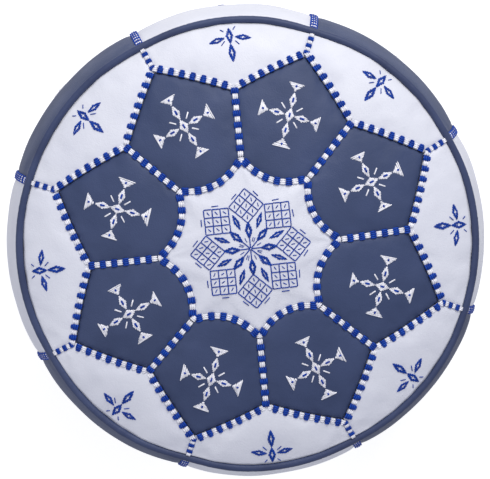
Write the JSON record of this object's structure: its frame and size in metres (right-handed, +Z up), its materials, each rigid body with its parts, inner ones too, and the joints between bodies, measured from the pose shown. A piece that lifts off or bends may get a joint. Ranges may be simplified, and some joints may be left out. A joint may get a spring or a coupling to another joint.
{
  "type": "leather pouf",
  "caption": "Round stuffed floor pouf of white and navy leather panels with plaited seams, embroidered motifs, leather piping and a zip in its base.",
  "frame": {"origin": "middle of the base, in the plane that it rests on", "axes": "+Z up through the crown; +X along the zip, towards its closed end, through the middle of a white wall panel; +Y completes the right hand and also meets the middle of a white wall panel"},
  "size_m": [0.52, 0.52, 0.32],
  "materials": {
    "white_leather": "soft white goatskin with a fine grain",
    "navy_leather": "dyed navy goatskin with a fine grain",
    "piping_leather": "dyed navy goatskin strip",
    "base_leather": "dyed navy goatskin, plain",
    "blue_silk": "royal blue rayon silk thread",
    "white_silk": "white rayon silk thread",
    "piping_cord": "cotton cord",
    "bag_cloth": "plain cotton cloth",
    "stuffing": "cotton and cloth offcuts, packed",
    "zip_tape": "woven tape",
    "zip_coil": "moulded coil",
    "zip_metal": "worn brass"
  },
  "bodies": {
    "pouf": {"medallion": "white_leather", "petal_1": "navy_leather", "petal_2": "navy_leather", "petal_3": "navy_leather", "petal_4": "navy_leather", "petal_5": "navy_leather", "petal_6": "navy_leather", "petal_7": "navy_leather", "petal_8": "navy_leather", "rim_panel_1": "white_leather", "rim_panel_2": "white_leather", "rim_panel_3": "white_leather", "rim_panel_4": "white_leather", "rim_panel_5": "white_leather", "rim_panel_6": "white_leather", "rim_panel_7": "white_leather", "rim_panel_8": "white_leather", "wall_panel_1": "white_leather", "wall_panel_2": "navy_leather", "wall_panel_3": "white_leather", "wall_panel_4": "navy_leather", "wall_panel_5": "white_leather", "wall_panel_6": "navy_leather", "wall_panel_7": "white_leather", "wall_panel_8": "navy_leather", "medallion_plait": "blue_silk", "petal_joint_plait": "blue_silk", "petal_edge_plait": "blue_silk", "rim_joint_plait": "blue_silk", "wall_joint_plait": "blue_silk", "top_piping_cover": "piping_leather", "base_piping_cover": "piping_leather", "top_piping_cord": "piping_cord", "base_piping_cord": "piping_cord", "bag_top": "bag_cloth", "bag_wall": "bag_cloth", "bag_base": "bag_cloth", "stuffing": "stuffing", "base_panel_front": "base_leather", "base_panel_rear": "base_leather", "zip_tape_front": "zip_tape", "zip_tape_rear": "zip_tape", "zip_coil_front": "zip_coil", "zip_coil_rear": "zip_coil", "zip_top_stops": "zip_metal", "zip_bottom_stop": "zip_metal"},
    "slider": {"zip_slider": "zip_metal"},
    "pull": {"zip_pull": "zip_metal"}
  },
  "joints": [
    {"name": "zip_slide", "type": "slide", "parent": "pouf", "child": "slider", "axis": [-1, 0, 0], "range_m": [0, 0.337]},
    {"name": "pull_hinge", "type": "hinge", "parent": "slider", "child": "pull", "pos_m": [0.1688, 0, 0.0048], "axis": [0, -1, 0], "range_deg": [0, 178]}
  ]
}
